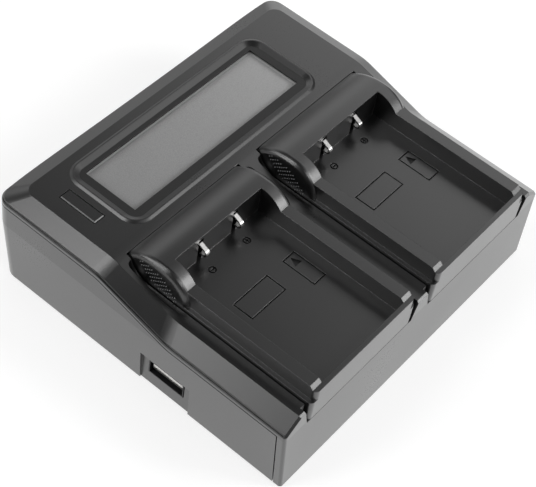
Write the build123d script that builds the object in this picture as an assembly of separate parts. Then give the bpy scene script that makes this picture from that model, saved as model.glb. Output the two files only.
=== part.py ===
from build123d import *
import math
import os

# A desktop charger for camera batteries, with a display and two lift-off battery plates.
# X runs along the front, Y from the front to the rear and Z up, in millimetres.
# Depths are written from the front face; save() moves the origin under the middle of the case.

# Case outline
side_gap = 9.95
middle_gap = 8.7
panel_length = 36.25
side_lean = 1.25
front_lean = 1.2
rear_corner = 4.5
panel_corner = 3.5
front_corner = 1.0
inner_corner = 0.3
wall = 2.0
skin = 2.0
floor = 2.0
foot_proud = 0.8

# Stepped top with its bevel
panel_z = 37.3
step_drop = 6.4
top_step_run = 23.0
top_step_end = 1.5
rim_front_drop = 4.2
rim_rear_drop = 2.9
rim_step_run = 27.0
rim_step_end = 2.5
step_radius = 16.0
bevel_run = 5.7
shoulder = 0.9
front_chamfer = 0.7
crease_height = 0.35
crease_depth = 0.5

# Seam between cover and tray
strip_height = 1.7
seam = 0.35
post_depth = 2.7
lap_height = 0.8
lap_clear = 0.1
front_rib = 1.6
front_rib_drop = 4.2

# Battery plates
plate_width = 47.7
plate_length = 67.5
plate_fit = 0.3
plate_seat = 0.1
plate_sink = 7.0
rear_gap = 0.35
plate_wall = 1.6
plate_corner = 1.6
ledge_width = 1.35
ledge_rise = 1.2
rim_width = 3.9
bay_floor_rise = 0.4
lip_width = 1.5
lip_drop = 1.1
hood_length = 12.7
hood_rise = 4.0
hood_round = 1.9
hood_facets = 6
hood_flat = 2.0
pocket_wall = 1.6
notch_run = 1.8
pocket_bevel = 0.4

# Finger scoops beside the hoods
scoop_length = 27.3
scoop_gap = 1.5
scoop_arc = 8.0
scoop_round_share = 0.65
scoop_facets = 4
side_ridge = 1.6
middle_ridge = 3.0

# Marks sunk into the bay floor, placed from the bay's middle and its rear wall
mark_depth = 0.6
mark_line = 0.4
label_size = (15.0, 7.3)
label_place = (-5.4, -21.1)
arrow_size = (5.4, 12.1)
arrow_place = (11.7, -23.5)
arrow_head = 1.5
arrow_head_shift = 3.6
pole_spread = 7.6
pole_place = -5.2
pole_radius = 1.25
pole_bar = 1.5
pole_sides = 20

# Battery contacts and terminal blades
contact_spread = 7.5
contact_width = 1.6
contact_thickness = 0.4
contact_drop = 0.1
contact_fall = 1.3
contact_bow = 1.1
contact_reach = 2.3
contact_free_end = 1.4
contact_bend = 0.9
contact_depth = 5.1
contact_tail_rise = 1.5
slot_clear = 0.2
slot_head = 1.6
leaf_room = 1.0
blade_thickness = 1.0
blade_width = 3.0
blade_rise = 4.1
blade_gap = 0.1
holder_width = 22.0
holder_depth = 6.5

# Display
display_shift = -1.8
ring_side_gap = 19.25
ring_front_gap = 3.25
ring_rear_gap = 2.9
ring_width = 3.0
ring_height = 0.5
ring_slope = 0.8
ring_flat = 0.4
ring_corner = 6.5
border_drop = 0.4
screen_side = 5.65
screen_front = 5.9
screen_rear = 4.5
window_sink = 0.6
window_lap = 2.0
window_clear = 0.1
window_thickness = 0.8
lcd_thickness = 1.5
backlight_thickness = 2.9
board_thickness = 1.6
display_board_left_gap = 8.0
display_board_right_gap = 16.0
display_board_front_gap = 1.55
display_board_rear_gap = 8.8
display_post = 2.0
display_post_edge = 2.5

# Mode button and its switch
button_width = 3.9
button_post_room = 11.4
button_side_gap = 13.05
button_shift = 2.2
button_proud = 0.3
button_gap = 0.25
button_chamfer = 0.3
button_flange = 1.0
button_flange_thickness = 0.8
button_travel = 0.5
button_seat = 0.1
switch_size = 6.0
switch_height = 2.3
plunger_radius = 1.5
plunger_clear = 0.1

# Main board
board_side_gap = 4.5
board_front = 13.0
board_rear_gap = 11.8
board_boss = 2.8
board_screw_inset = 9.5
board_screw_end = 4.5

# USB socket in the left wall
usb_y = 43.0
usb_z = 8.9
usb_shell_size = (13.1, 5.7)
usb_shell_length = 14.0
usb_sheet = 0.3
usb_clear = 0.2
usb_tongue_size = (11.1, 1.84)
usb_tongue_length = 9.0
usb_tongue_back = 0.8
usb_recess_margin = 2.75
usb_recess_rise = 4.7
usb_recess_depth = 1.0
usb_pad = 1.7

# DC inlet in the rear wall
jack_x = 26.0
jack_size = (9.0, 13.5, 11.0)
jack_axis_height = 6.5
jack_bore = 3.1
jack_bore_depth = 9.5
jack_pin_radius = 1.05
jack_pin_clear = 1.5
jack_hole = 4.2

# Parts on the main board, each placed from its middle and its front or rear edge
inductor_size = (12.0, 12.0, 7.0)
inductor_chamfer = 1.5
inductor_spread = 24.0
inductor_place = 17.0
capacitor_radius = 4.0
capacitor_height = 11.5
capacitor_places = [(-4.5, -14.0), (5.5, -14.0), (42.0, -18.0)]
chip_height = 1.5
chip_places = [(0.0, -36.0, 10.0), (-24.0, -20.0, 7.0), (0.0, -68.0, 7.0)]

# Ribbon between the boards
ribbon_x = 20.0
ribbon_width = 12.0
ribbon_thickness = 0.3
ribbon_place = -10.0
ribbon_shift = 4.0
ribbon_bend = 2.0
ribbon_slot_depth = 1.5
ribbon_clear = 0.1
socket_size = (15.0, 4.0, 3.0)

# Fasteners and feet
case_boss = 4.0
cover_boss = 2.4
boss_join_rise = 6.7
front_boss_side_gap = 5.8
front_boss_y = 8.0
rear_boss_side_gap = 18.0
rear_boss_rear_gap = 5.8
case_screw_radius = 1.3
case_screw_head = 2.4
case_screw_head_height = 1.8
case_screw_length = 13.0
case_screw_sink = 2.2
screw_clear = 0.1
small_screw_radius = 1.0
small_screw_head = 1.9
small_screw_head_height = 1.4
small_screw_bite = 2.6
peg_sides = 12
foot_radius = 4.5
foot_side_gap = 16.0
foot_front = 14.0
foot_rear_gap = 14.8

# Heights that follow from the sizes above
base_z = foot_proud
tray_floor_z = base_z + floor
channel_z = panel_z - step_drop
rim_front_z = channel_z - rim_front_drop
rim_rear_z = panel_z - rim_rear_drop
cover_edge_front = rim_front_z - strip_height
cover_edge_rear = rim_rear_z - strip_height
tray_edge_front = cover_edge_front - seam
tray_edge_rear = cover_edge_rear - seam
lean_top_z = tray_edge_front
plate_bottom_z = channel_z - plate_sink
pocket_floor_z = plate_bottom_z - plate_seat
pocket_under_z = pocket_floor_z - pocket_wall
front_rib_z = pocket_under_z - front_rib_drop
ledge_z = channel_z + ledge_rise
bay_floor_z = channel_z + bay_floor_rise
lip_z = panel_z - lip_drop
hood_z = panel_z + hood_rise
contact_top_z = panel_z - contact_drop
contact_tail_z = plate_bottom_z + contact_tail_rise
contact_leaf_z = contact_top_z + contact_fall
slot_top_z = contact_leaf_z + slot_head
blade_top_z = plate_bottom_z + blade_rise
skin_under_z = panel_z - skin
ring_top_z = panel_z + ring_height
border_z = panel_z - border_drop
window_top_z = border_z - window_sink
window_z = window_top_z - window_thickness
lcd_z = window_z - lcd_thickness
backlight_z = lcd_z - backlight_thickness
display_board_z = backlight_z - board_thickness
button_flange_z = skin_under_z - button_seat - button_flange_thickness
switch_well_z = backlight_z + switch_height / 3
board_top_z = usb_z - usb_shell_size[1] / 2
board_z = board_top_z - board_thickness
boss_join_z = tray_floor_z + boss_join_rise
case_screw_seat_z = base_z + case_screw_sink + case_screw_head_height
case_screw_top_z = case_screw_seat_z + case_screw_length

# Widths and depths that follow
plate_pitch = plate_width + middle_gap
plate_half = plate_width / 2
plate_centres = {"left": -plate_pitch / 2, "right": plate_pitch / 2}
pocket_half = plate_half + plate_fit
pocket_rear_y = plate_length + rear_gap
rim_half = plate_half - ledge_width
bay_half = rim_half - rim_width
bay_rear_y = plate_length - hood_length
hood_arc = hood_z - bay_floor_z
width = 2 * (plate_width + side_gap) + middle_gap
depth = pocket_rear_y + panel_length + bevel_run
middle_y = (depth - front_lean) / 2
bevel_inner_x = width / 2 - bevel_run
plate_outer_x = plate_pitch / 2 + pocket_half
plate_inner_x = plate_pitch / 2 - pocket_half
top_head_y = plate_length + top_step_end
top_foot_y = top_head_y - top_step_run
rim_head_y = plate_length + rim_step_end
rim_foot_y = rim_head_y - rim_step_run
scoop_rear_y = plate_length - scoop_gap
scoop_front_y = scoop_rear_y - scoop_length
contact_nose_y = bay_rear_y - contact_reach
contact_tail_y = bay_rear_y + contact_depth
blade_rear_y = contact_tail_y - contact_thickness / 2 - blade_gap
blade_front_y = blade_rear_y - blade_thickness
ring_size = (width - 2 * ring_side_gap, panel_length - ring_front_gap - ring_rear_gap)
ring_inner = (ring_size[0] - 2 * ring_width, ring_size[1] - 2 * ring_width)
screen_size = (ring_size[0] - 2 * screen_side, ring_size[1] - screen_front - screen_rear)
pane_size = (screen_size[0] + 2 * window_lap, screen_size[1] + 2 * window_lap)
display_place = (display_shift, pocket_rear_y + ring_front_gap + ring_size[1] / 2)
screen_place = (display_shift, display_place[1] + (screen_front - screen_rear) / 2)
display_board_left = display_board_left_gap - width / 2
display_board_right = width / 2 - display_board_right_gap
display_board_front = pocket_rear_y + pocket_wall + display_board_front_gap
display_board_rear = depth - display_board_rear_gap
display_post_xs = (display_board_left + display_post_edge, display_board_right - display_post_edge)
display_post_ys = (display_board_front + display_post_edge, display_board_rear - display_post_edge)
display_posts = [(x, y) for x in display_post_xs for y in display_post_ys]
button_size = (button_width, display_post_ys[1] - display_post_ys[0] - button_post_room)
button_place = (button_side_gap - width / 2, sum(display_post_ys) / 2 + button_shift)
board_half = width / 2 - board_side_gap
board_rear = depth - board_rear_gap
usb_recess_width = usb_shell_size[0] + 2 * usb_recess_margin
usb_face_x = usb_recess_depth - width / 2 + side_lean * (lean_top_z - usb_z) / (lean_top_z - base_z)
usb_mouth_x = usb_face_x - usb_clear
jack_rear_y = depth - wall - side_lean * (lean_top_z - board_top_z) / (lean_top_z - base_z)
jack_front_y = jack_rear_y - jack_size[1]
jack_z = board_top_z + jack_axis_height
ribbon_low_y = board_rear + ribbon_place
ribbon_high_y = ribbon_low_y + ribbon_shift
case_boss_places = [
    (side * (width / 2 - gap), y)
    for gap, y in ((front_boss_side_gap, front_boss_y), (rear_boss_side_gap, depth - rear_boss_rear_gap))
    for side in (-1, 1)
]
board_screw_xs = (board_screw_inset - board_half, board_half - board_screw_inset)
board_screw_ys = (board_front + board_screw_end, board_rear - board_screw_end)
board_screw_places = [(x, y) for x in board_screw_xs for y in board_screw_ys]
foot_xs = (foot_side_gap - width / 2, width / 2 - foot_side_gap)
foot_places = [(x, y) for x in foot_xs for y in (foot_front, depth - foot_rear_gap)]
far = 2 * width
ceiling = panel_z + width / 2


def box(x_range, y_range, z_range):
    """A block between two limits on each axis."""
    sizes = [high - low for low, high in (x_range, y_range, z_range)]
    centre = [(low + high) / 2 for low, high in (x_range, y_range, z_range)]
    return Pos(*centre) * Box(*sizes)


def post(place, radius, z_low, z_high):
    """An upright cylinder between two heights."""
    return Pos(place[0], place[1], (z_low + z_high) / 2) * Cylinder(radius, z_high - z_low)


def peg(place, radius, z_low, z_high):
    """An upright prism with few sides, for round things inside the case."""
    face = Pos(place[0], place[1], z_low) * RegularPolygon(radius, peg_sides)
    return extrude(face, z_high - z_low, dir=(0, 0, 1))


def side_profile(line, x_low, x_high):
    """A closed profile drawn in Y and Z, drawn out along X."""
    return Pos(x_low, 0, 0) * extrude(make_face(Plane.YZ * line), x_high - x_low, dir=(1, 0, 0))


def outline(z, inset=0.0, corner=0.0):
    """The case's plan outline at a height: leaning walls below the lean top, upright above."""
    rear_radius = max(corner, rear_corner - inset, inner_corner)
    lean = max(0.0, (lean_top_z - z) / (lean_top_z - base_z))
    half = width / 2 - side_lean * lean - inset
    front = inset - front_lean * lean
    rear = depth - side_lean * lean - inset
    sheet = Pos(0, (front + rear) / 2, z) * Rectangle(2 * half, rear - front)
    sheet = fillet(sheet.vertices().sort_by(Axis.Y)[-2:], rear_radius)
    return fillet(sheet.vertices().sort_by(Axis.Y)[:2], max(front_corner - inset, inner_corner))


def case_block(z_low, z_high, inset=0.0):
    """The case's outer form between two heights, or a smaller one inside it."""
    lower = loft([outline(z_low, inset), outline(lean_top_z, inset)], ruled=True)
    return lower + extrude(outline(lean_top_z, inset), z_high - lean_top_z)


def step_line(front_z, rear_z, foot_y, head_y, end_y):
    """The stepped line seen from the side: low in front, a soft slope, high behind."""
    points = [(-far, front_z), (foot_y, front_z), (head_y, rear_z), (end_y, rear_z)]
    return FilletPolyline(*points, radius=step_radius)


def under_step(front_z, rear_z, foot_y=rim_foot_y, head_y=rim_head_y):
    """Everything below a stepped line."""
    line = step_line(front_z, rear_z, foot_y, head_y, far)
    rest = Polyline((far, rear_z), (far, -far), (-far, -far), (-far, front_z))
    return side_profile(line + rest, -far, far)


def over_step(front_z, rear_z, foot_y, head_y):
    """The face above a stepped line, ending just behind its slope."""
    end_y = rim_head_y + step_radius / 2
    line = step_line(front_z, rear_z, foot_y, head_y, end_y)
    rest = Polyline((end_y, rear_z), (end_y, ceiling), (-far, ceiling), (-far, front_z))
    return make_face(Plane.YZ * (line + rest))


def behind_front(offset):
    """Everything behind a face that runs parallel to the front wall."""
    rise = lean_top_z - base_z
    below = base_z - rise
    points = [(offset, ceiling), (offset, lean_top_z), (offset - 2 * front_lean, below), (far, below)]
    return side_profile(Polyline(*points, (far, ceiling), close=True), -far, far)


def ring_wall(z_low, z_high, outer_inset, inner_inset):
    """The wall between two insets of the case's form."""
    return case_block(z_low, z_high, outer_inset) - case_block(z_low, z_high, inner_inset)


def bevel_cutter(side):
    """What lies above the sloping bevel on one side of the lowered front."""
    reach = bevel_run / 2
    share = reach / bevel_run
    outer_front = rim_front_z - share * (channel_z - rim_front_z)
    outer_rear = rim_rear_z - share * (panel_z - rim_rear_z)
    outer = over_step(outer_front, outer_rear, rim_foot_y, rim_head_y)
    inner = over_step(channel_z, panel_z, top_foot_y, top_head_y)
    outer_x = side * (width / 2 + reach)
    return loft([Pos(outer_x, 0, 0) * outer, Pos(side * bevel_inner_x, 0, 0) * inner], ruled=True)


def make_top_form():
    """The solid outer form of the closed case, stepped and bevelled."""
    crown = loft([outline(rim_rear_z), outline(panel_z, bevel_run, panel_corner)], ruled=True)
    form = case_block(base_z, rim_rear_z) + crown
    middle = over_step(channel_z, panel_z, top_foot_y, top_head_y)
    form -= Pos(-bevel_inner_x, 0, 0) * extrude(middle, 2 * bevel_inner_x, dir=(1, 0, 0))
    for side in (-1, 1):
        form -= bevel_cutter(side)
    front_edges = form.edges().filter_by_position(Axis.Y, -0.01, 0.01)
    top_edges = [edge for edge in front_edges if edge.center().Z > rim_front_z + front_chamfer]
    return chamfer(top_edges, front_chamfer)


def rounding_steps(radius, facets):
    """Steps over a rounded edge: each one's distance from the edge and its height above the flat."""
    turns = [math.radians(90 * step / facets) for step in range(facets + 1)]
    return [(radius * (1 - math.sin(turn)), radius * (1 - math.cos(turn))) for turn in turns]


def scoop_face(x, lift):
    """A finger scoop's section at one x: level in front, curving up to the panel behind."""
    radius = (scoop_arc**2 + step_drop**2) / (2 * step_drop) - lift
    rise = step_drop - lift
    arc_start = (scoop_rear_y - scoop_arc, channel_z + lift)
    arc_end = (arc_start[0] + math.sqrt(rise * (2 * radius - rise)), panel_z)
    line = Line((scoop_front_y, channel_z + lift), arc_start)
    line += TangentArc(arc_start, arc_end, tangent=(1, 0))
    line += Polyline(
        arc_end,
        (arc_end[0], ceiling),
        (scoop_front_y, ceiling),
        (scoop_front_y, channel_z + lift),
    )
    return Pos(x, 0, 0) * make_face(Plane.YZ * line)


def make_scoop(plate_x, wall_x):
    """A finger scoop from a plate's side to its own outer wall, with a rounded corner at the wall."""
    run = wall_x - plate_x
    sections = [scoop_face(plate_x, 0)]
    for distance, lift in rounding_steps(scoop_round_share * abs(run), scoop_facets):
        sections.append(scoop_face(wall_x - math.copysign(distance, run), lift))
    return loft(sections, ruled=True)


def make_scoops():
    """Scoops on the outer and inner side of each hood."""
    plate_inner_side = plate_pitch / 2 - plate_half
    plate_outer_side = plate_pitch / 2 + plate_half
    outer = bevel_inner_x - side_ridge
    scoops = make_scoop(-plate_outer_side, -outer) + make_scoop(plate_outer_side, outer)
    scoops += make_scoop(-plate_inner_side, -middle_ridge / 2)
    return scoops + make_scoop(plate_inner_side, middle_ridge / 2)


def make_pocket(centre):
    """The space that one plate drops into: open in front with flared sides, bevelled behind."""
    sides = (centre - pocket_half, centre + pocket_half)
    pocket = box(sides, (-far, pocket_rear_y), (pocket_floor_z, ceiling))
    flare = [
        (sides[0], pocket_floor_z),
        (sides[0] - notch_run, channel_z),
        (sides[0] - notch_run, ceiling),
        (sides[1] + notch_run, ceiling),
        (sides[1] + notch_run, channel_z),
        (sides[1], pocket_floor_z),
    ]
    notch = extrude(make_face(Plane.XZ * Polyline(*flare, close=True)), wall, dir=(0, 1, 0))
    rear_edge = [
        (pocket_rear_y - wall, panel_z - pocket_bevel),
        (pocket_rear_y, panel_z - pocket_bevel),
        (pocket_rear_y + 2 * pocket_bevel, panel_z + pocket_bevel),
        (pocket_rear_y - wall, panel_z + pocket_bevel),
    ]
    return pocket + notch + side_profile(Polyline(*rear_edge, close=True), *sides)


def tub(centre):
    """The walls and floor that stand round one plate's pocket."""
    half = pocket_half + pocket_wall
    y_range = (-far, pocket_rear_y + pocket_wall)
    return box((centre - half, centre + half), y_range, (pocket_under_z, panel_z))


def rounded_sheet(size, corner, z):
    """A rectangle with rounded corners round the display's middle."""
    return Pos(*display_place, z) * RectangleRounded(*size, corner)


def make_bead():
    """The raised bead round the display, still solid inside."""
    top_size = [size - 2 * ring_slope for size in ring_size]
    foot = rounded_sheet(ring_size, ring_corner, panel_z)
    return loft([foot, rounded_sheet(top_size, ring_corner - ring_slope, ring_top_z)], ruled=True)


def make_display_dish():
    """The hollow inside the bead: sloping sides down to the display's sunken border."""
    rise = ring_width - ring_slope - ring_flat
    corner = ring_corner - ring_width
    top_size = [size + 2 * rise for size in ring_inner]
    bottom = rounded_sheet(ring_inner, corner, border_z)
    return loft([bottom, rounded_sheet(top_size, corner + rise, ring_top_z)], ruled=True)


def make_cover():
    """Top cover: panel, bevels and the front wall that wraps round the front corners."""
    form = make_top_form()
    cover = form - (under_step(cover_edge_front, cover_edge_rear) & behind_front(post_depth))
    roof_drop = crease_height + shoulder
    low = case_block(base_z - floor, rim_rear_z, wall)
    cover -= low & under_step(rim_front_z - roof_drop, rim_rear_z - roof_drop)
    high = extrude(outline(lean_top_z, bevel_run + shoulder), panel_z - lean_top_z)
    cover -= high & under_step(channel_z - skin, panel_z - skin, top_foot_y, top_head_y)
    blocks = [tub(centre) for centre in plate_centres.values()]
    strip_y = (scoop_front_y, pocket_rear_y + pocket_wall)
    strip_z = (channel_z - skin, panel_z)
    for low_x, high_x in (
        (-bevel_inner_x, -plate_outer_x),
        (-plate_inner_x, plate_inner_x),
        (plate_outer_x, bevel_inner_x),
    ):
        blocks.append(box((low_x - pocket_wall, high_x + pocket_wall), strip_y, strip_z))
    for place in case_boss_places:
        blocks.append(peg(place, cover_boss, boss_join_z, panel_z))
    for place in display_posts:
        blocks.append(peg(place, display_post, backlight_z, panel_z))
    for block in blocks:
        cover += block & form
    for centre in plate_centres.values():
        cover -= make_pocket(centre)
        for x in blade_centres(centre):
            cover -= blade_slot(x)
    cover -= make_scoops()
    lap_top = lap_height + lap_clear
    rabbet = ring_wall(base_z, rim_rear_z, wall / 2 - lap_clear, wall + lap_clear)
    rabbet &= under_step(cover_edge_front + lap_top, cover_edge_rear + lap_top)
    cover -= rabbet & behind_front(post_depth)
    crease = ring_wall(base_z, rim_rear_z + crease_height, -crease_depth, crease_depth)
    crease &= under_step(rim_front_z, rim_rear_z)
    crease -= under_step(rim_front_z - crease_height, rim_rear_z - crease_height)
    cover -= crease & box((-far, far), (front_corner, far), (base_z, ceiling))
    cover += make_bead()
    cover -= make_display_dish()
    cover -= Pos(*screen_place, panel_z) * Box(*screen_size, 4 * skin)
    well = [size + 2 * window_clear for size in pane_size]
    cover -= Pos(*screen_place, window_top_z - skin) * Box(*well, 2 * skin)
    hole = [size + 2 * button_gap for size in button_size]
    cover -= Pos(*button_place, panel_z) * Box(*hole, 4 * skin)
    for place in case_boss_places:
        cover -= peg(place, case_screw_radius + screw_clear, base_z, case_screw_top_z + screw_clear)
    for place in display_posts:
        cover -= peg(place, small_screw_radius + screw_clear, display_board_z, skin_under_z)
    return cover


def make_tray():
    """Base tray: floor and the left, rear and right walls, with a low rib behind the front wall."""
    apron = wall + seam
    tray = case_block(base_z, rim_rear_z) & under_step(tray_edge_front, tray_edge_rear)
    tray &= behind_front(post_depth + seam)
    tray += case_block(base_z, rim_front_z, apron) & behind_front(apron)
    tray -= case_block(tray_floor_z, ceiling, wall) & behind_front(apron + front_rib)
    over_rib = box((-far, far), (-far, apron + front_rib), (front_rib_z, ceiling))
    tray -= over_rib & case_block(base_z, ceiling, wall)
    lap_rise = seam + lap_height
    tongue = ring_wall(tray_floor_z, rim_rear_z, wall / 2, wall)
    tongue &= under_step(tray_edge_front + lap_rise, tray_edge_rear + lap_rise)
    tray += tongue & behind_front(post_depth + seam + front_rib)
    recess_y = (usb_y - usb_recess_width / 2, usb_y + usb_recess_width / 2)
    recess_z = usb_z + usb_recess_rise
    tray += box((usb_face_x, usb_face_x + usb_pad), recess_y, (tray_floor_z, recess_z + usb_pad))
    tray -= box((-far, usb_face_x), recess_y, (-far, recess_z))
    opening = [size + 2 * usb_clear for size in usb_shell_size]
    tray -= Pos(usb_face_x, usb_y, usb_z) * Box(4 * usb_pad, *opening)
    tray -= Pos(jack_x, depth, jack_z) * Rot(90, 0, 0) * Cylinder(jack_hole, 4 * wall)
    for place in case_boss_places:
        tray += peg(place, case_boss, base_z, boss_join_z) & case_block(base_z, rim_rear_z, wall / 2)
        tray -= peg(place, case_screw_radius + screw_clear, base_z, boss_join_z)
        tray -= post(place, case_screw_head + screw_clear, base_z, case_screw_seat_z)
    for place in board_screw_places:
        tray += peg(place, board_boss, tray_floor_z - floor / 2, board_z)
        tray -= peg(place, small_screw_radius + screw_clear, board_z - small_screw_bite, board_z)
    return tray


def blade_centres(centre):
    """Where the two terminal blades of a bay stand."""
    return (centre - contact_spread, centre + contact_spread)


def blade_slot(x):
    """The slot in a pocket's floor that a blade stands through."""
    half = blade_width / 2 + slot_clear
    y_range = (blade_front_y - slot_clear, blade_rear_y + slot_clear)
    return box((x - half, x + half), y_range, (pocket_under_z - 1, pocket_floor_z + 1))


def hood_face(x, sink):
    """The hood's section at one x, drawn in by the sink towards its rounded ends."""
    front_y = bay_rear_y - hood_arc + sink
    top_z = hood_z - sink
    top_end_y = bay_rear_y + hood_flat
    back_run = plate_length - top_end_y
    back_radius = (back_run**2 + hood_rise**2) / (2 * hood_rise)
    rear_z = hood_z - back_radius + math.sqrt((back_radius - sink) ** 2 - back_run**2)
    line = RadiusArc((front_y, bay_floor_z), (bay_rear_y, top_z), hood_arc - sink)
    line += Line((bay_rear_y, top_z), (top_end_y, top_z))
    line += TangentArc((top_end_y, top_z), (plate_length, rear_z), tangent=(1, 0))
    line += Polyline(
        (plate_length, rear_z),
        (plate_length, plate_bottom_z),
        (front_y, plate_bottom_z),
        (front_y, bay_floor_z),
    )
    return Pos(x, 0, 0) * make_face(Plane.YZ * line)


def make_hood():
    """The hood over the contacts with its arms, rounded at both ends."""
    steps = rounding_steps(hood_round, hood_facets)
    sections = [hood_face(distance - plate_half, sink) for distance, sink in reversed(steps)]
    sections += [hood_face(plate_half - distance, sink) for distance, sink in steps]
    return loft(sections, ruled=True)


def front_corner_edges(block):
    """The two upright edges at a block's front."""
    return block.edges().filter_by(Axis.Z).group_by(Axis.Y)[0]


def make_plate():
    """One battery plate: hood and arms over the contacts, and an open bay in front."""
    z_low = plate_bottom_z
    flange = box((-plate_half, plate_half), (0, plate_length), (z_low, ledge_z))
    flange = fillet(front_corner_edges(flange), plate_corner)
    walls = box((-rim_half, rim_half), (0, bay_rear_y), (z_low, panel_z))
    walls = fillet(front_corner_edges(walls), plate_corner)
    plate = flange + walls + make_hood()
    plate -= box((-bay_half, bay_half), (lip_width, bay_rear_y), (bay_floor_z, ceiling))
    lip_cut = Polyline(
        (-1, lip_z),
        (lip_width, lip_z),
        (lip_width + lip_drop, panel_z),
        (lip_width, ceiling),
        (-1, ceiling),
        close=True,
    )
    plate -= side_profile(lip_cut, -plate_half, plate_half)
    half = plate_half - plate_wall
    rear = plate_length - plate_wall
    plate -= box((-half, half), (plate_wall, rear), (z_low - 1, bay_floor_z - plate_wall))
    back_y = bay_rear_y + plate_wall
    room = Polyline(
        (back_y, z_low),
        (rear, z_low),
        (rear, panel_z - plate_wall),
        (contact_tail_y + leaf_room, hood_z - plate_wall),
        (back_y, hood_z - plate_wall),
        close=True,
    )
    plate -= side_profile(room, -half + plate_wall, half - plate_wall)
    half_slot = contact_width / 2 + slot_clear
    for x in (-contact_spread, contact_spread):
        y_range = (bay_rear_y - 1, back_y + 1)
        plate -= box((x - half_slot, x + half_slot), y_range, (bay_floor_z, slot_top_z))
    return plate - Pos(0, bay_rear_y, bay_floor_z - mark_depth) * floor_marks()


def floor_marks():
    """Shallow marks in the bay floor: two frames, an arrow head and the two poles."""
    marks = frame_mark(label_place, label_size) + frame_mark(arrow_place, arrow_size)
    tip_y = arrow_place[1] + arrow_head_shift
    corners = [
        (arrow_place[0] - arrow_head, tip_y - arrow_head),
        (arrow_place[0] + arrow_head, tip_y - arrow_head),
        (arrow_place[0], tip_y + arrow_head),
    ]
    marks += extrude(make_face(Polyline(*corners, close=True)), 2 * mark_depth, dir=(0, 0, 1))
    for x in (-pole_spread, pole_spread):
        pole = RegularPolygon(pole_radius, pole_sides) - RegularPolygon(pole_radius - mark_line, pole_sides)
        pole += Rectangle(pole_bar, mark_line)
        if x > 0:
            pole += Rectangle(mark_line, pole_bar)
        marks += extrude(Pos(x, pole_place, 0) * pole, 2 * mark_depth)
    return marks


def frame_mark(place, size):
    """A sunken rectangular line."""
    inner = [side - 2 * mark_line for side in size]
    return extrude(Pos(place[0], place[1], 0) * (Rectangle(*size) - Rectangle(*inner)), 2 * mark_depth)


def make_contact():
    """A bent strip: a bow in the bay, a leaf that slopes up through the wall and a tail down to the blade."""
    nose = Vector(contact_nose_y, contact_top_z)
    crest = Vector(bay_rear_y + slot_clear, contact_leaf_z)
    fall = (nose - crest).normalized()
    leaf = FilletPolyline(
        (contact_tail_y, contact_tail_z),
        (contact_tail_y, contact_leaf_z),
        (crest.X, crest.Y),
        (nose.X, nose.Y),
        radius=contact_bend,
    )
    bow_end = nose + Vector(-fall.Y, fall.X - 1) * contact_bow
    bow = TangentArc((nose.X, nose.Y), (bow_end.X, bow_end.Y), tangent=(fall.X, fall.Y))
    end = Line((bow_end.X, bow_end.Y), (bow_end.X + contact_free_end, bow_end.Y))
    strip = trace(leaf + bow + end, contact_thickness)
    return Pos(-contact_width / 2, 0, 0) * extrude(Plane.YZ * strip, contact_width, dir=(1, 0, 0))


def make_blades(centre):
    """The pair of terminal blades that stand up into a plate."""
    half = blade_width / 2
    y_range = (blade_front_y, blade_rear_y)
    return [box((x - half, x + half), y_range, (board_top_z, blade_top_z)) for x in blade_centres(centre)]


def make_holder(centre):
    """The plastic block on the main board that carries a bay's blades."""
    y = (blade_front_y + blade_rear_y) / 2
    half = holder_width / 2
    y_range = (y - holder_depth / 2, y + holder_depth / 2)
    holder = box((centre - half, centre + half), y_range, (board_top_z, pocket_under_z))
    for blade in make_blades(centre):
        holder -= blade
    return holder


def make_pane(z, thickness):
    """One layer of the display: the clear window, the panel under it or the backlight."""
    return Pos(*screen_place, z + thickness / 2) * Box(*pane_size, thickness)


def make_display_board():
    """Board under the display, screwed up against the cover's posts."""
    x_range = (display_board_left, display_board_right)
    y_range = (display_board_front, display_board_rear)
    board = box(x_range, y_range, (display_board_z, backlight_z))
    for place in display_posts:
        board -= peg(place, small_screw_radius + screw_clear, display_board_z - 1, backlight_z + 1)
    return board


def make_button():
    """Slim push button with a flange that keeps it in the panel."""
    top = panel_z + button_proud
    cap = Pos(*button_place, (button_flange_z + top) / 2) * Box(*button_size, top - button_flange_z)
    cap = chamfer(cap.edges().group_by(Axis.Z)[-1], button_chamfer)
    size = [side + 2 * button_flange for side in button_size]
    middle = button_flange_z + button_flange_thickness / 2
    return cap + Pos(*button_place, middle) * Box(*size, button_flange_thickness)


def make_switch():
    """Body of the tact switch, with a well for its plunger."""
    body = Pos(*button_place, backlight_z + switch_height / 2) * Box(switch_size, switch_size, switch_height)
    well_top = backlight_z + 2 * switch_height
    return body - peg(button_place, plunger_radius + plunger_clear, switch_well_z, well_top)


def make_plunger():
    """The switch's plunger, which the button stands on."""
    return peg(button_place, plunger_radius, switch_well_z + button_travel + plunger_clear, button_flange_z)


def make_main_board():
    """Main board in the tray."""
    board = box((-board_half, board_half), (board_front, board_rear), (board_z, board_top_z))
    for place in board_screw_places:
        board -= peg(place, small_screw_radius + screw_clear, board_z - 1, board_top_z + 1)
    return board


def make_usb_shell():
    """Folded metal shell of the USB socket."""
    middle = usb_mouth_x + usb_shell_length / 2
    inner = [side - 2 * usb_sheet for side in usb_shell_size]
    shell = Pos(middle, usb_y, usb_z) * Box(usb_shell_length, *usb_shell_size)
    return shell - Pos(middle - usb_sheet, usb_y, usb_z) * Box(usb_shell_length, *inner)


def make_usb_tongue():
    """Plastic tongue inside the USB socket, on the block at its rear."""
    start = usb_mouth_x + usb_tongue_back
    back = usb_mouth_x + usb_shell_length - usb_sheet
    half = usb_tongue_size[0] / 2
    z_half = usb_tongue_size[1] / 2
    y_range = (usb_y - half, usb_y + half)
    tongue = box((start, start + usb_tongue_length), y_range, (usb_z - z_half, usb_z + z_half))
    root_z = usb_shell_size[1] / 2 - usb_sheet
    root = box((start + usb_tongue_length, back), y_range, (usb_z - root_z, usb_z + root_z))
    return tongue + root


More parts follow.
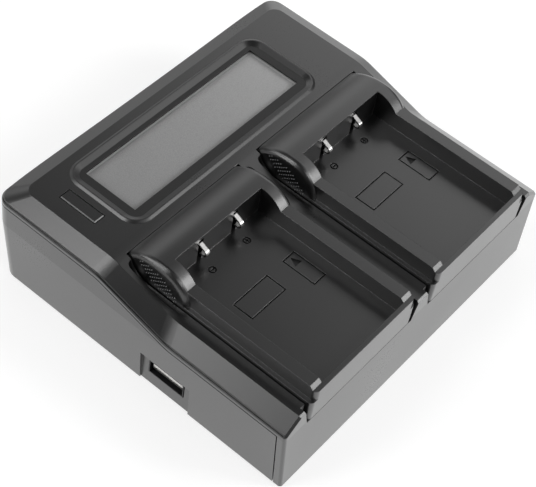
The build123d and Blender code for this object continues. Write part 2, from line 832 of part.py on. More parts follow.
def make_jack():
    """Barrel inlet on the main board's rear edge."""
    half = jack_size[0] / 2
    z_range = (board_top_z, board_top_z + jack_size[2])
    body = box((jack_x - half, jack_x + half), (jack_front_y, jack_rear_y), z_range)
    bore_y = jack_rear_y - jack_bore_depth / 2
    return body - Pos(jack_x, bore_y, jack_z) * Rot(90, 0, 0) * Cylinder(jack_bore, jack_bore_depth)


def make_jack_pin():
    """Centre pin of the inlet."""
    length = jack_bore_depth - jack_pin_clear
    y = jack_rear_y - jack_bore_depth + length / 2
    pin = Pos(jack_x, y, jack_z) * Rot(90, 0, 0) * Cylinder(jack_pin_radius, length)
    return chamfer(pin.edges().group_by(Axis.Y)[-1], jack_pin_radius / 2)


def make_inductors():
    """Moulded inductors on the main board."""
    coils = []
    for x in (-inductor_spread, inductor_spread):
        place = Pos(x, board_front + inductor_place, board_top_z + inductor_size[2] / 2)
        coil = place * Box(*inductor_size)
        coils.append(chamfer(coil.edges().filter_by(Axis.Z), inductor_chamfer))
    return coils


def make_capacitors():
    """Upright round capacitors on the main board."""
    top = board_top_z + capacitor_height
    return [peg((x, board_rear + y), capacitor_radius, board_top_z, top) for x, y in capacitor_places]


def make_chips():
    """Flat control chips on the main board."""
    middle = board_top_z + chip_height / 2
    return [Pos(x, board_rear + y, middle) * Box(side, side, chip_height) for x, y, side in chip_places]


def ribbon_ends():
    """Lower and upper ends of the ribbon, inside its sockets."""
    low = board_top_z + socket_size[2] - ribbon_slot_depth + ribbon_clear
    high = display_board_z - socket_size[2] + ribbon_slot_depth - ribbon_clear
    return low, high


def make_ribbon():
    """Flat ribbon that joins the two boards."""
    low, high = ribbon_ends()
    third = (high - low) / 3
    path = FilletPolyline(
        (ribbon_low_y, low),
        (ribbon_low_y, low + third),
        (ribbon_high_y, high - third),
        (ribbon_high_y, high),
        radius=ribbon_bend,
    )
    strip = extrude(Plane.YZ * trace(path, ribbon_thickness), ribbon_width, dir=(1, 0, 0))
    return Pos(ribbon_x - ribbon_width / 2, 0, 0) * strip


def make_sockets():
    """The ribbon's sockets, one on each board."""
    low, high = ribbon_ends()
    gap = ribbon_thickness + 2 * ribbon_clear
    slot = Box(ribbon_width + 2 * ribbon_clear, gap, ribbon_slot_depth)
    lower = Pos(ribbon_x, ribbon_low_y, board_top_z + socket_size[2] / 2) * Box(*socket_size)
    lower -= Pos(ribbon_x, ribbon_low_y, low - ribbon_clear + ribbon_slot_depth / 2) * slot
    upper = Pos(ribbon_x, ribbon_high_y, display_board_z - socket_size[2] / 2) * Box(*socket_size)
    upper -= Pos(ribbon_x, ribbon_high_y, high + ribbon_clear - ribbon_slot_depth / 2) * slot
    return [lower, upper]


def screw(place, radius, head_radius, head_height, seat_z, length, direction):
    """A screw whose head bears at seat_z; direction is where its shank points, up or down."""
    shank_z = sorted((seat_z, seat_z + direction * length))
    head_z = sorted((seat_z, seat_z - direction * head_height))
    return peg(place, radius, *shank_z) + peg(place, head_radius, *head_z)


def make_case_screws():
    """Screws from below that hold the tray to the cover."""
    sizes = (case_screw_radius, case_screw_head, case_screw_head_height)
    return [screw(place, *sizes, case_screw_seat_z, case_screw_length, 1) for place in case_boss_places]


def make_board_screws():
    """Screws that hold the main board to the tray."""
    length = board_thickness + small_screw_bite - screw_clear
    sizes = (small_screw_radius, small_screw_head, small_screw_head_height)
    return [screw(place, *sizes, board_top_z, length, -1) for place in board_screw_places]


def make_display_screws():
    """Screws that hold the display board to the cover."""
    length = board_thickness + small_screw_bite - screw_clear
    sizes = (small_screw_radius, small_screw_head, small_screw_head_height)
    return [screw(place, *sizes, display_board_z, length, 1) for place in display_posts]


def make_feet():
    """Rubber feet stuck on the tray's underside."""
    return [post(place, foot_radius, 0, base_z) for place in foot_places]


def save(name, shape):
    """Write one piece, with the origin under the middle of the case."""
    solids = shape if isinstance(shape, list) else [shape]
    moved = [Pos(0, -middle_y, 0) * solid for solid in solids]
    export_step(moved[0] if len(moved) == 1 else Compound(children=moved), f"parts/{name}.step")


def main():
    os.makedirs("parts", exist_ok=True)
    save("top_cover", make_cover())
    save("base_tray", make_tray())
    plate = make_plate()
    contact = make_contact()
    for side, centre in plate_centres.items():
        save(f"{side}_plate", Pos(centre, 0, 0) * plate)
        for hand, shift in (("left", -contact_spread), ("right", contact_spread)):
            save(f"{side}_plate_{hand}_contact", Pos(centre + shift, 0, 0) * contact)
        save(f"{side}_bay_blades", make_blades(centre))
        save(f"{side}_blade_holder", make_holder(centre))
    save("display_window", make_pane(window_z, window_thickness))
    save("lcd_panel", make_pane(lcd_z, lcd_thickness))
    save("lcd_backlight", make_pane(backlight_z, backlight_thickness))
    save("display_board", make_display_board())
    save("mode_button", make_button())
    save("button_switch", make_switch())
    save("switch_plunger", make_plunger())
    save("main_board", make_main_board())
    save("usb_shell", make_usb_shell())
    save("usb_tongue", make_usb_tongue())
    save("dc_jack", make_jack())
    save("dc_jack_pin", make_jack_pin())
    save("inductors", make_inductors())
    save("capacitors", make_capacitors())
    save("control_chips", make_chips())
    save("ribbon_cable", make_ribbon())
    save("ribbon_sockets", make_sockets())
    save("case_screws", make_case_screws())
    save("board_screws", make_board_screws())
    save("display_screws", make_display_screws())
    save("rubber_feet", make_feet())


main()
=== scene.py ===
import math

import bmesh
import bpy
from mathutils import Matrix, Vector


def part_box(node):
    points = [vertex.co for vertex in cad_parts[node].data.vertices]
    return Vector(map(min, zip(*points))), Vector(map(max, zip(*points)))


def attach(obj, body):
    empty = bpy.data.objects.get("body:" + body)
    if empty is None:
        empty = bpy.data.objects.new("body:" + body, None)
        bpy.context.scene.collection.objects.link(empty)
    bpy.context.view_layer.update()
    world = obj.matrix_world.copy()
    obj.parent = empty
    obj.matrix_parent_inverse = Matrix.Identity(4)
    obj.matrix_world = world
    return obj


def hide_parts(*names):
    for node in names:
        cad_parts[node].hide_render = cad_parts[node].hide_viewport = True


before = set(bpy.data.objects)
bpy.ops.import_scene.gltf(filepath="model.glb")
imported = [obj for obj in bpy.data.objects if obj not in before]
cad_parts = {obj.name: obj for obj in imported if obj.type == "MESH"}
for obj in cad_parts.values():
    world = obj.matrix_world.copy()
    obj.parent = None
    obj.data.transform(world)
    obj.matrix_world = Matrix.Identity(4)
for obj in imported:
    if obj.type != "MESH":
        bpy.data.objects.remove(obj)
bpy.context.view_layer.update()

MM = 0.001
NEUTRAL = (1.0, 1.0, 1.0)
COOL = (1.0, 1.0, 1.02)
IVORY = (1.0, 0.99, 0.96)

# The camera, solved from the case's parallel edges: lengths in the photo's pixels, place in metres.
PHOTO_SIZE = (536, 487)
FOCAL_LENGTH = 1534.99
OPTICAL_CENTRE = (291.07, 247.85)
SENSOR_WIDTH = 36.0
CAMERA_PLACE = (-0.257565, -0.158051, 0.375066)
CAMERA_RIGHT = (0.62897, -0.76668, 0.12886)
CAMERA_DOWN = (-0.55105, -0.55657, -0.62175)
CAMERA_FORWARD = (0.54840, 0.32005, -0.77255)

# Softboxes: name, direction from the object, distance, width and height in metres, power in watts.
SOFTBOXES = (
    ("left_softbox", (-0.45, 0.32, 0.83), 1.2, (0.40, 0.45), 3.0),
    ("left_strip_light", (-0.80, 0.40, 0.45), 1.2, (0.32, 0.6), 2.7),
    ("rear_left_softbox", (-0.60, 0.66, 0.45), 1.2, (0.4, 0.5), 2.5),
    ("front_right_softbox", (0.47, -0.755, 0.44), 1.2, (0.42, 0.72), 6.6),
    ("front_softbox", (-0.15, -0.72, 0.68), 1.4, (0.8, 0.5), 4.5),
)
AIM_POINT = (0, 0, 0.02)

# The room that the plastic mirrors: pairs of position and grey level.
CEILING_LEVELS = (
    (0.0, 0.12), (0.2, 0.2), (0.5, 0.75), (0.6, 0.95), (0.68, 0.65), (0.75, 0.06), (0.9, 0.04)
)
CEILING_STRENGTH = 1.3
WINDOW_LEVELS = ((0.71, 0.0), (0.80, 0.75), (0.85, 0.6), (0.92, 0.0))
LEFT_SIDE_LEVELS = ((0.3, 0.1), (0.42, 0.5), (0.5, 1.0))
LEFT_SIDE_TONE = 0.05
BAND_BEND = 0.3
BAND_MIDDLE = 0.4
BAND_DIP = 0.6

FLOOR_HALF = 2.5
FLOOR_TONE = 0.42
FLOOR_GLOW = 0.66

# Masks and textures.
MASK_STEEPNESS = 5000.0
RIM_STEEPNESS = 1000.0
EDGE_SAMPLES = 6
CELLS_PER_METRE = 1800.0
TRACKS_PER_METRE = 90.0
WIRES_PER_METRE = 160.0
RUBBER_EDGE = 0.3 * MM

# How far the display goes under the cover's edge on each side.
PANE_LAP = 2.0 * MM

# Where plastic gets painted shade, dull and dark: reach past the window's box, and places on plate
# and tongue.
BORDER_LOW = Vector((-0.8, -1.1, -1.0)) * MM
BORDER_HIGH = Vector((0.8, -0.3, 0.8)) * MM
MARKS_START = 1.8 * MM
MARKS_TOP = 31.2 * MM
TONGUE_LIT = 0.9 * MM
MARGIN = Vector((1, 1, 1)) * MM

# Grip dots: the leaf's two ends as depth and height on the plate, then the rows and the dots.
GRIP_FRONT = (47.6 * MM, 7.7 * MM)
GRIP_REAR = (64.0 * MM, 14.6 * MM)
GRIP_HALF_WIDTH = 2.5 * MM
GRIP_SLANT = math.radians(35)
GRIP_OUT = 0.1 * MM
ROW_PITCH = 1.5 * MM
DOT_PITCH = 0.95 * MM
DOT_FOOT = 0.25 * MM
DOT_TOP = 0.14 * MM
DOT_HEIGHT = 0.30 * MM

# Case screws.
HEAD_RADIUS = 2.4 * MM
HEAD_HEIGHT = 1.8 * MM
HEAD_CELLS = 5
CROSS_HALF_LENGTH = 1.35 * MM
CROSS_HALF_WIDTH = 0.35 * MM
CROSS_DEPTH = 1.1 * MM
SHANK_FOOT = 1.3 * MM
SHANK_TIP = 1.0 * MM
SHANK_LENGTH = 13.0 * MM
SHANK_MIDDLE = 8.3 * MM
REAR_SCREW_INSET = 12.2 * MM

# Contact strips under the USB tongue: place across and length, in millimetres.
USB_STRIPS = ((-3.5, 7.4), (-1.0, 6.4), (1.0, 6.4), (3.5, 7.4))
STRIP_WIDTH = 1.0 * MM
STRIP_THICKNESS = 0.12 * MM
STRIP_BEVEL = 0.04 * MM
STRIP_INSET = 0.6 * MM
STRIP_DROP = 0.96 * MM

# The finish of each CAD node.
SLOTS = {
    "top_cover": "case_plastic",
    "base_tray": "case_plastic",
    "left_plate": "plate_plastic",
    "right_plate": "plate_plastic",
    "left_plate_left_contact": "contact_metal",
    "left_plate_right_contact": "contact_metal",
    "right_plate_left_contact": "contact_metal",
    "right_plate_right_contact": "contact_metal",
    "left_bay_blades": "brass",
    "right_bay_blades": "brass",
    "left_blade_holder": "black_plastic",
    "right_blade_holder": "black_plastic",
    "display_window": "window",
    "lcd_panel": "lcd",
    "lcd_backlight": "diffuser",
    "display_board": "board",
    "display_screws": "steel",
    "mode_button": "button_plastic",
    "switch_plunger": "black_plastic",
    "button_switch": "black_plastic",
    "main_board": "board",
    "board_screws": "steel",
    "usb_shell": "shell_steel",
    "usb_tongue": "tongue_plastic",
    "dc_jack": "black_plastic",
    "dc_jack_pin": "brass",
    "inductors": "black_plastic",
    "capacitors": "aluminium_can",
    "control_chips": "black_plastic",
    "ribbon_cable": "pale_ribbon",
    "ribbon_sockets": "white_plastic",
    "case_screws": "steel",
    "rubber_feet": "foot_rubber",
}


class Shade:
    """A shader socket with plain arithmetic on it."""

    def __init__(self, finish, socket):
        self.finish = finish
        self.socket = socket

    def combine(self, operation, *values):
        return self.finish.node("ShaderNodeMath", dict(enumerate(values)), operation=operation)

    def __add__(self, other):
        return self.combine("ADD", self, other)

    def __radd__(self, other):
        return self.combine("ADD", other, self)

    def __sub__(self, other):
        return self.combine("SUBTRACT", self, other)

    def __rsub__(self, other):
        return self.combine("SUBTRACT", other, self)

    def __mul__(self, other):
        return self.combine("MULTIPLY", self, other)

    def __rmul__(self, other):
        return self.combine("MULTIPLY", other, self)

    def __abs__(self):
        return self.combine("ABSOLUTE", self)

    def at_least(self, least):
        return self.combine("MAXIMUM", self, least)


class Finish:
    """A node tree for a material or the surroundings, with one way to add a node."""

    def __init__(self, owner, output):
        owner.use_nodes = True
        self.owner = owner
        self.tree = owner.node_tree
        self.tree.nodes.clear()
        self.output = self.tree.nodes.new(output)

    def node(self, kind, sockets=None, output=0, **settings):
        """An output of a new node, with its settings first and then what its sockets get."""
        made = self.tree.nodes.new(kind)
        for name, value in settings.items():
            setattr(made, name, value)
        for name, value in (sockets or {}).items():
            self.feed(made.inputs[name], value)
        return Shade(self, made.outputs[output])

    def feed(self, socket, value):
        """Link a shade to a socket, or give the socket a constant."""
        if isinstance(value, Shade):
            self.tree.links.new(value.socket, socket)
        else:
            socket.default_value = value

    def place(self):
        return self.node("ShaderNodeTexCoord", output="Object")

    def along(self, letter, place=None):
        """One coordinate of a place, or of the object's own."""
        return self.node("ShaderNodeSeparateXYZ", {0: place or self.place()}, letter)

    def noise(self, size, detail, stretch=None):
        """Soft noise whose grains have about the given size in metres."""
        place = self.place()
        if stretch:
            place = self.node("ShaderNodeMapping", {"Vector": place, "Scale": stretch})
        sockets = {"Vector": place, "Scale": 1 / size, "Detail": detail}
        return self.node("ShaderNodeTexNoise", sockets, "Fac")

    def ramp(self, value, *stops):
        """A grey level by a value, from pairs of position and level."""
        shade = self.node("ShaderNodeValToRGB", {"Fac": value})
        elements = shade.socket.node.color_ramp.elements
        while len(elements) < len(stops):
            elements.new(1.0)
        for element, (position, level) in zip(elements, stops):
            element.position = position
            element.color = grey(level)
        return shade

    def mix(self, share, first, second):
        """A colour between two colours."""
        sockets = {0: share, 6: first, 7: second}
        return self.node("ShaderNodeMix", sockets, 2, data_type="RGBA", clamp_factor=True)

    def inside(self, low, high):
        """A mask that is white inside a box, and fades out 0.1 mm before its faces."""
        masks = []
        for axis, letter in enumerate("XYZ"):
            offset = abs(self.along(letter) - (low[axis] + high[axis]) / 2)
            depth = (high[axis] - low[axis]) / 2 - offset
            masks.append(self.ramp(depth * MASK_STEEPNESS, (0.4, 0.0), (0.6, 1.0)))
        return masks[0] * masks[1] * masks[2]

    def soft_edges(self, radius):
        """The surface normal with its edges rounded off."""
        return self.node("ShaderNodeBevel", {"Radius": radius}, samples=EDGE_SAMPLES)

    def edge_wear(self, radius):
        """A mask that is white where an edge is rubbed."""
        normal = self.node("ShaderNodeNewGeometry", output="Normal")
        normals = {0: self.soft_edges(radius), 1: normal}
        along = self.node("ShaderNodeVectorMath", normals, "Value", operation="DOT_PRODUCT")
        return self.ramp(1 - along, (0.02, 0.0), (0.22, 1.0))

    def bump(self, height, depth, normal=None):
        """The surface normal, tilted by a height of the given depth in metres."""
        sockets = {"Height": height, "Distance": depth, "Strength": 1.0}
        if normal:
            sockets["Normal"] = normal
        return self.node("ShaderNodeBump", sockets)

    def shade_with(self, shader):
        """Send a shader to the output, and give back the material or the surroundings."""
        self.feed(self.output.inputs["Surface"], shader)
        return self.owner

    def principled(self, sockets):
        return self.shade_with(self.node("ShaderNodeBsdfPrincipled", sockets))


def new_finish(name):
    return Finish(bpy.data.materials.new(name), "ShaderNodeOutputMaterial")


def grey(level, tint=NEUTRAL):
    return (level * tint[0], level * tint[1], level * tint[2], 1)


def moulded_plastic(
    name, tone, roughness, grain, edge=0.25 * MM, tint=COOL, coat=0.0, sunk=None
):
    """Spark-eroded moulded plastic: fine grain, slow changes of tone, edges rubbed a little paler.

    The sunk value is a box, as two corners, in which painted shade makes the surface dull and dark.
    """
    finish = new_finish(name)
    fine = finish.noise(grain, 3.0)
    slow = finish.noise(30 * MM, 2.0)
    worn = finish.edge_wear(edge)
    colour = finish.mix(slow, grey(tone * 0.86, tint), grey(tone * 1.14, tint))
    colour = finish.mix(fine * 0.35, colour, grey(tone * 1.5, tint))
    colour = finish.mix(worn * 0.35, colour, grey(tone * 2.2 + 0.01, tint))
    rough = roughness + (slow - 0.5) * 0.1 + (fine - 0.5) * 0.08 - worn * 0.06
    sockets = {
        "Base Color": colour,
        "Roughness": rough,
        "Coat Weight": coat,
        "Coat Roughness": roughness,
        "Normal": finish.bump(fine, 0.003 * MM, finish.soft_edges(edge)),
    }
    if sunk:
        # Painted shade: inside the box the colour goes almost black, rougher and with less coat.
        deep = finish.inside(*sunk)
        sockets["Base Color"] = finish.mix(deep, colour, grey(tone * 0.05, tint))
        sockets["Roughness"] = rough + deep * 0.3
        sockets["Coat Weight"] = coat - deep * (coat * 0.7)
    return finish.principled(sockets)


def polished_metal(name, colour, roughness, brushed=(1.0, 0.15, 1.0), edge=0.1 * MM):
    """Plated or rolled metal with drawn lines and faint stains."""
    finish = new_finish(name)
    lines = finish.noise(0.4 * MM, 2.0, brushed)
    stains = finish.noise(4 * MM, 3.0)
    stained = finish.ramp(stains, (0.35, 0.0), (0.75, 0.6))
    return finish.principled({
        "Base Color": finish.mix(stained, grey(1.0, colour), grey(0.72, colour)),
        "Metallic": 1.0,
        "Roughness": roughness + (stains - 0.5) * 0.12 + (lines - 0.5) * 0.1,
        "Normal": finish.bump(lines, 0.01 * MM, finish.soft_edges(edge)),
    })


def clear_pane(name):
    """Thin clear pane: it shows what lies under it, and mirrors more at a low angle."""
    finish = new_finish(name)
    smears = finish.noise(12 * MM, 3.0)
    gloss = finish.node("ShaderNodeBsdfGlossy", {"Roughness": 0.1})
    clear = finish.node("ShaderNodeBsdfTransparent", {"Color": grey(0.93)})
    facing = finish.node("ShaderNodeLayerWeight", {"Blend": 0.5}, "Facing")
    share = (0.03 + facing * facing * facing * 0.5) * (0.85 + smears * 0.3)
    return finish.shade_with(finish.node("ShaderNodeMixShader", {0: share, 1: clear, 2: gloss}))


def display_glass(name):
    """Switched-off display: grey with a faint cell pattern, with painted light making it paler
    towards its right end and a painted highlight making its rim paler.
    """
    finish = new_finish(name)
    low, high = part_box("lcd_panel")
    cells = finish.node(
        "ShaderNodeTexVoronoi",
        {"Vector": finish.place(), "Scale": CELLS_PER_METRE},
        "Distance",
        feature="DISTANCE_TO_EDGE",
    )
    slow = finish.noise(50 * MM, 1.0)
    # Painted light: the grey brightens towards the display's right end.
    share = (finish.along("X") - low.x) * (0.85 / (high.x - low.x)) + slow * 0.15
    colour = finish.mix(share, grey(0.318), grey(0.447))
    colour = finish.mix(finish.ramp(cells, (0.0, 0.3), (0.2, 0.0)), colour, grey(0.2))
    # Painted highlight: a paler band along the display's rim.
    rim_highlights = []
    for axis, letter in enumerate("XY"):
        offset = abs(finish.along(letter) - (low[axis] + high[axis]) / 2)
        reach = (high[axis] - low[axis]) / 2 - PANE_LAP
        near = (offset - reach) * RIM_STEEPNESS + 0.5
        rim_highlights.append(finish.ramp(near, (0.25, 0.0), (0.45, 1.0)))
    return finish.principled({
        "Base Color": finish.mix(rim_highlights[0] + rim_highlights[1], colour, grey(0.62)),
        "Roughness": 0.42 + (slow - 0.5) * 0.1,
        "Normal": finish.bump(cells, 0.01 * MM),
    })


def circuit_board(name):
    """Green solder mask over copper tracks."""
    finish = new_finish(name)
    tracks = finish.node(
        "ShaderNodeTexBrick",
        {"Vector": finish.place(), "Scale": TRACKS_PER_METRE, "Mortar Size": 0.06},
        "Fac",
        offset=0.37,
        squash=0.6,
    )
    slow = finish.noise(10 * MM, 2.0)
    colour = finish.mix(slow, (0.012, 0.11, 0.035, 1), (0.02, 0.16, 0.055, 1))
    return finish.principled({
        "Base Color": finish.mix(tracks * 0.6, colour, (0.05, 0.24, 0.08, 1)),
        "Roughness": 0.34 + (slow - 0.5) * 0.12,
        "Normal": finish.bump(tracks, 0.03 * MM),
    })


def foot_rubber(name):
    """Dull rubber with pores and rubbed edges."""
    finish = new_finish(name)
    pores = finish.noise(0.6 * MM, 4.0)
    slow = finish.noise(6 * MM, 2.0)
    worn = finish.edge_wear(RUBBER_EDGE)
    colour = finish.mix(slow, grey(0.018), grey(0.032))
    return finish.principled({
        "Base Color": finish.mix(worn * 0.6, colour, grey(0.07)),
        "Roughness": 0.82 + (pores - 0.5) * 0.2,
        "Normal": finish.bump(pores, 0.08 * MM, finish.soft_edges(RUBBER_EDGE)),
    })


def flat_ribbon(name):
    """Pale ribbon with its side-by-side conductors."""
    finish = new_finish(name)
    wires = finish.node(
        "ShaderNodeTexWave",
        {"Vector": finish.place(), "Scale": WIRES_PER_METRE},
        "Fac",
        bands_direction="X",
    )
    slow = finish.noise(4 * MM, 2.0)
    colour = finish.mix(wires, grey(0.55, (1.0, 0.97, 0.9)), grey(0.72, (1.0, 0.98, 0.94)))
    return finish.principled({
        "Base Color": finish.mix(slow * 0.3, colour, grey(0.45, (1.0, 0.95, 0.86))),
        "Roughness": 0.45 + (slow - 0.5) * 0.1,
        "Normal": finish.bump(wires, 0.06 * MM),
    })


def painted_shade_places():
    """Boxes, as two corners, where plastic gets painted shade: the display's border, the bays'
    marks, the tongue's lower part.
    """
    low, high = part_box("usb_tongue")
    lit = Vector((0, 0, (high.z - low.z) / 2 + TONGUE_LIT))
    tongue_underside_shade = (low - MARGIN, high + MARGIN - lit)
    low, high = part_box("display_window")
    border = (low + BORDER_LOW, high + BORDER_HIGH)
    low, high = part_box("left_plate")
    outer = low - MARGIN
    marks = (
        (outer.x, low.y + MARKS_START, outer.z),
        (-outer.x, high.y + MARGIN.y, MARKS_TOP),
    )
    return border, marks, tongue_underside_shade


def make_finishes():
    """The finish of each material slot."""
    border, marks, tongue_underside_shade = painted_shade_places()
    return {
        # Case and plate get painted shade in the display's border and in the bays' marks.
        "case_plastic": moulded_plastic(
            "charcoal_case_plastic", 0.005, 0.3, 0.4 * MM, 0.2 * MM, coat=0.9, sunk=border
        ),
        "plate_plastic": moulded_plastic(
            "charcoal_plate_plastic", 0.005, 0.31, 0.4 * MM, 0.4 * MM, coat=0.9, sunk=marks
        ),
        "button_plastic": moulded_plastic(
            "button_plastic", 0.005, 0.34, 0.4 * MM, 0.1 * MM, coat=0.4
        ),
        # The grip dots are lighter than the plate they stand on: a painted highlight.
        "grip_highlight_plastic": moulded_plastic("grip_dot_highlight_plastic", 0.13, 0.4, 0.3 * MM, 0.1 * MM),
        "window": clear_pane("clear_window"),
        "lcd": display_glass("display_glass"),
        "diffuser": moulded_plastic(
            "backlight_diffuser", 0.62, 0.5, 0.8 * MM, tint=(1.0, 1.0, 0.97)
        ),
        "board": circuit_board("circuit_board"),
        "black_plastic": moulded_plastic("black_component_plastic", 0.022, 0.48, 0.4 * MM),
        "white_plastic": moulded_plastic(
            "white_tongue_plastic", 0.7, 0.38, 0.5 * MM, tint=IVORY
        ),
        "pale_ribbon": flat_ribbon("pale_ribbon"),
        "contact_metal": polished_metal(
            "nickel_contact", (0.44, 0.436, 0.43), 0.24, edge=0.4 * MM
        ),
        "brass": polished_metal("tinned_brass", (0.78, 0.66, 0.42), 0.26),
        "steel": polished_metal("bright_steel", (0.62, 0.62, 0.63), 0.28),
        # The shell's steel is darkened almost to black: painted shade inside the socket's opening.
        "shell_steel": polished_metal("shaded_shell_steel", (0.07, 0.07, 0.072), 0.45),
        # The tongue's lower part gets painted shade; its top stays pale.
        "tongue_plastic": moulded_plastic(
            "usb_tongue_plastic", 0.85, 0.38, 0.5 * MM, tint=IVORY, sunk=tongue_underside_shade
        ),
        "aluminium_can": polished_metal(
            "aluminium_can", (0.74, 0.75, 0.76), 0.34, (0.15, 1.0, 1.0)
        ),
        "foot_rubber": foot_rubber("foot_rubber"),
    }


def finish_nodes(finishes):
    """Give each CAD node the finish of its slot."""
    for name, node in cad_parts.items():
        node.data.materials.clear()
        node.data.materials.append(finishes[SLOTS[name]])


def new_object(name, mesh, finish):
    """Turn a finished bmesh into an object of the scene."""
    data = bpy.data.meshes.new(name)
    mesh.to_mesh(data)
    mesh.free()
    data.materials.append(finish)
    made = bpy.data.objects.new(name, data)
    bpy.context.scene.collection.objects.link(made)
    return made


def keep_mesh(name, mesh, finish, body):
    """Turn a finished bmesh into a piece that rides on a body."""
    piece = new_object(name, mesh, finish)
    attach(piece, body)
    return piece


def grip_dots(name, side, finish, body):
    """Leaf-shaped field of raised grip dots on one side of a hood, in slanting rows."""
    low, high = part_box(body)
    face_x = (low.x if side < 0 else high.x) + side * GRIP_OUT
    front = Vector((face_x, low.y + GRIP_FRONT[0], low.z + GRIP_FRONT[1]))
    rear = Vector((face_x, low.y + GRIP_REAR[0], low.z + GRIP_REAR[1]))
    middle = (front + rear) / 2
    along = (rear - front).normalized()
    across = Vector((0, -along.z, along.y))
    row_line = Vector((0, -math.cos(GRIP_SLANT), math.sin(GRIP_SLANT)))
    half = (rear - front).length / 2
    turn = Matrix.Rotation(math.radians(90 * side), 4, "Y")
    mesh = bmesh.new()
    for row in range(-6, 7):
        for step in range(-5, 6):
            shift = along * (row * ROW_PITCH) + row_line * (step * DOT_PITCH)
            fullness = 1 - (shift.dot(along) / half) ** 2
            if abs(shift.dot(across)) > GRIP_HALF_WIDTH * fullness:
                continue
            bmesh.ops.create_cone(
                mesh,
                cap_ends=True,
                segments=6,
                radius1=DOT_FOOT,
                radius2=DOT_TOP,
                depth=DOT_HEIGHT,
                matrix=Matrix.Translation(middle + shift) @ turn,
            )
    keep_mesh(name, mesh, finish, body)


def in_cross(offset):
    """Whether a face of a screw's head lies in its cross recess."""
    small, large = sorted((abs(offset.x), abs(offset.y)))
    return small < CROSS_HALF_WIDTH and large < CROSS_HALF_LENGTH


def raise_new(mesh, extruded, height):
    """Move the new points of an extrusion up."""
    points = [item for item in extruded["geom"] if isinstance(item, bmesh.types.BMVert)]
    bmesh.ops.translate(mesh, vec=(0, 0, height), verts=points)


def add_screw(mesh, middle):
    """One screw on the middle of its head's lower face, which has the cross recess."""
    lines = (CROSS_HALF_WIDTH, CROSS_HALF_LENGTH, HEAD_RADIUS)
    lines = [-line for line in reversed(lines)] + list(lines)
    grid = bmesh.ops.create_grid(mesh, x_segments=HEAD_CELLS, y_segments=HEAD_CELLS, size=1.0)
    for vert in grid["verts"]:
        spot = [lines[round((value + 1) * HEAD_CELLS / 2)] for value in vert.co.xy]
        flat = Vector((*spot, 0))
        if HEAD_RADIUS in (abs(spot[0]), abs(spot[1])):
            flat = flat.normalized() * HEAD_RADIUS
        vert.co = middle + flat
    faces = dict.fromkeys(face for vert in grid["verts"] for face in vert.link_faces)
    cross = [face for face in faces if in_cross(face.calc_center_median() - middle)]
    rim = dict.fromkeys(edge for face in faces for edge in face.edges if edge.is_boundary)
    sunk = bmesh.ops.extrude_face_region(mesh, geom=cross)
    bmesh.ops.delete(mesh, geom=cross, context="FACES_ONLY")
    raise_new(mesh, sunk, CROSS_DEPTH)
    raise_new(mesh, bmesh.ops.extrude_edge_only(mesh, edges=list(rim)), HEAD_HEIGHT)
    bmesh.ops.create_cone(
        mesh,
        cap_ends=True,
        segments=16,
        radius1=SHANK_FOOT,
        radius2=SHANK_TIP,
        depth=SHANK_LENGTH,
        matrix=Matrix.Translation(middle + Vector((0, 0, SHANK_MIDDLE))),
    )


def screw_heads(finish):
    """The case screws with a cross recess in each head, in place of the plain ones."""
    low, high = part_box("case_screws")
    rows = (
        (low.y + HEAD_RADIUS, HEAD_RADIUS),
        (high.y - HEAD_RADIUS, HEAD_RADIUS + REAR_SCREW_INSET),
    )
    mesh = bmesh.new()
    for x in (low.x, high.x):
        for y, inset in rows:
            add_screw(mesh, Vector((x - math.copysign(inset, x), y, low.z)))
    bmesh.ops.recalc_face_normals(mesh, faces=mesh.faces)
    piece = keep_mesh("case_screw_set", mesh, finish, "case")
    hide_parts("case_screws")


def usb_pads(finish):
    """The four contact strips under the USB tongue."""
    low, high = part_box("usb_tongue")
    middle = (low + high) / 2
    mesh = bmesh.new()
    for offset, length in USB_STRIPS:
        place = Vector((
            low.x + STRIP_INSET + length / 2 * MM, middle.y + offset * MM, middle.z - STRIP_DROP
        ))
        size = Matrix.Diagonal((length * MM, STRIP_WIDTH, STRIP_THICKNESS, 1))
        made = bmesh.ops.create_cube(mesh, size=1.0, matrix=Matrix.Translation(place) @ size)
        edges = dict.fromkeys(edge for vert in made["verts"] for edge in vert.link_edges)
        bmesh.ops.bevel(
            mesh,
            geom=list(edges),
            offset=STRIP_BEVEL,
            segments=2,
            profile=0.5,
            affect="EDGES",
            material=-1,
        )
    keep_mesh("usb_contact_strips", mesh, finish, "case")


def pale_floor():
    """The floor's finish: it keeps the shadow, and glows for the camera and in reflections."""
    finish = new_finish("pale_floor")
    camera = finish.node("ShaderNodeLightPath", output="Is Camera Ray")
    glossy = finish.node("ShaderNodeLightPath", output="Is Glossy Ray")
    through = finish.node("ShaderNodeLightPath", output="Is Transmission Ray")
    seen = camera + glossy + through
    diffuse = finish.node("ShaderNodeBsdfDiffuse", {"Color": grey(FLOOR_TONE)})
    strength = seen * FLOOR_GLOW
    glow = finish.node("ShaderNodeEmission", {"Color": grey(1.0), "Strength": strength})
    return finish.shade_with(finish.node("ShaderNodeAddShader", {0: diffuse, 1: glow}))


def make_floor():
    """Large flat floor."""
    mesh = bmesh.new()
    bmesh.ops.create_grid(mesh, x_segments=8, y_segments=8, size=FLOOR_HALF)
    floor = new_object("studio_floor", mesh, pale_floor())


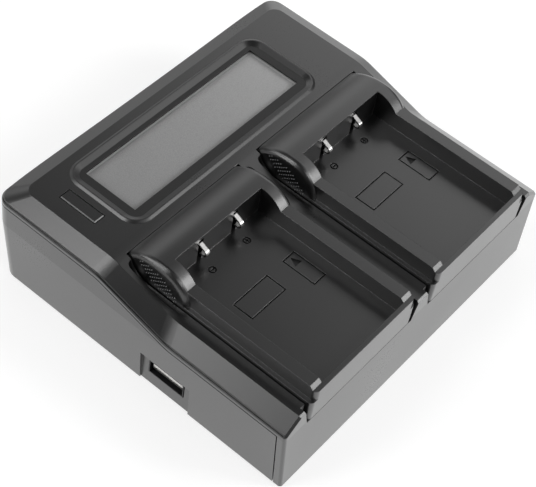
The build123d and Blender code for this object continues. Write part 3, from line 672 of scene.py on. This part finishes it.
def make_surroundings():
    """White to the camera; for light and reflections a room with a bright band and a window."""
    world = bpy.data.worlds.new("studio_room")
    bpy.context.scene.world = world
    finish = Finish(world, "ShaderNodeOutputWorld")
    camera = finish.node("ShaderNodeLightPath", output="Is Camera Ray")
    direction = finish.node("ShaderNodeTexCoord", output="Generated")
    across, deep, height = (finish.along(letter, direction) for letter in "XYZ")
    band = (across - deep * 0.5).at_least(BAND_BEND) - BAND_MIDDLE
    ceiling = finish.ramp(height - band * BAND_DIP, *CEILING_LEVELS)
    window = finish.ramp(0.5 + (across - deep * 0.3) * 0.5, *WINDOW_LEVELS)
    side = finish.ramp(0.5 + across * 0.5, *LEFT_SIDE_LEVELS)
    room = finish.mix(side, grey(LEFT_SIDE_TONE), ceiling * CEILING_STRENGTH + window)
    colour = finish.mix(camera, room, grey(1.0))
    finish.shade_with(finish.node("ShaderNodeBackground", {"Color": colour, "Strength": 1.0}))


def soft_light(name, toward, distance, size, power):
    """A rectangular softbox in one direction, facing the object."""
    data = bpy.data.lights.new(name, "AREA")
    data.shape = "RECTANGLE"
    data.size, data.size_y = size
    data.energy = power
    light = bpy.data.objects.new(name, data)
    direction = Vector(toward).normalized()
    light.location = direction * distance + Vector(AIM_POINT)
    light.rotation_euler = direction.to_track_quat("Z", "Y").to_euler()
    bpy.context.scene.collection.objects.link(light)


def make_camera():
    """Camera at the photo's place, looking down on the left front corner."""
    width, height = PHOTO_SIZE
    data = bpy.data.cameras.new("photo_camera")
    data.sensor_width = SENSOR_WIDTH
    data.lens = FOCAL_LENGTH / width * SENSOR_WIDTH
    data.shift_x = (width / 2 - OPTICAL_CENTRE[0]) / width
    data.shift_y = (OPTICAL_CENTRE[1] - height / 2) / width
    data.clip_start = 0.01
    camera = bpy.data.objects.new("photo_camera", data)
    axes = (Vector(CAMERA_RIGHT), -Vector(CAMERA_DOWN), -Vector(CAMERA_FORWARD))
    turn = Matrix(axes).transposed()
    camera.matrix_world = Matrix.Translation(CAMERA_PLACE) @ turn.to_4x4()
    bpy.context.scene.collection.objects.link(camera)
    bpy.context.scene.camera = camera


def main():
    """Build the stage, then the finishes, then the pieces that the CAD leaves out."""
    bpy.context.scene.view_settings.view_transform = "Standard"
    make_camera()
    make_surroundings()
    make_floor()
    for softbox in SOFTBOXES:
        soft_light(*softbox)
    finishes = make_finishes()
    finish_nodes(finishes)
    for plate in ("left_plate", "right_plate"):
        for side, hand in ((-1, "left"), (1, "right")):
            grip_dots(f"{plate}_{hand}_grip", side, finishes["grip_highlight_plastic"], plate)
    screw_heads(finishes["steel"])
    usb_pads(finishes["brass"])


main()
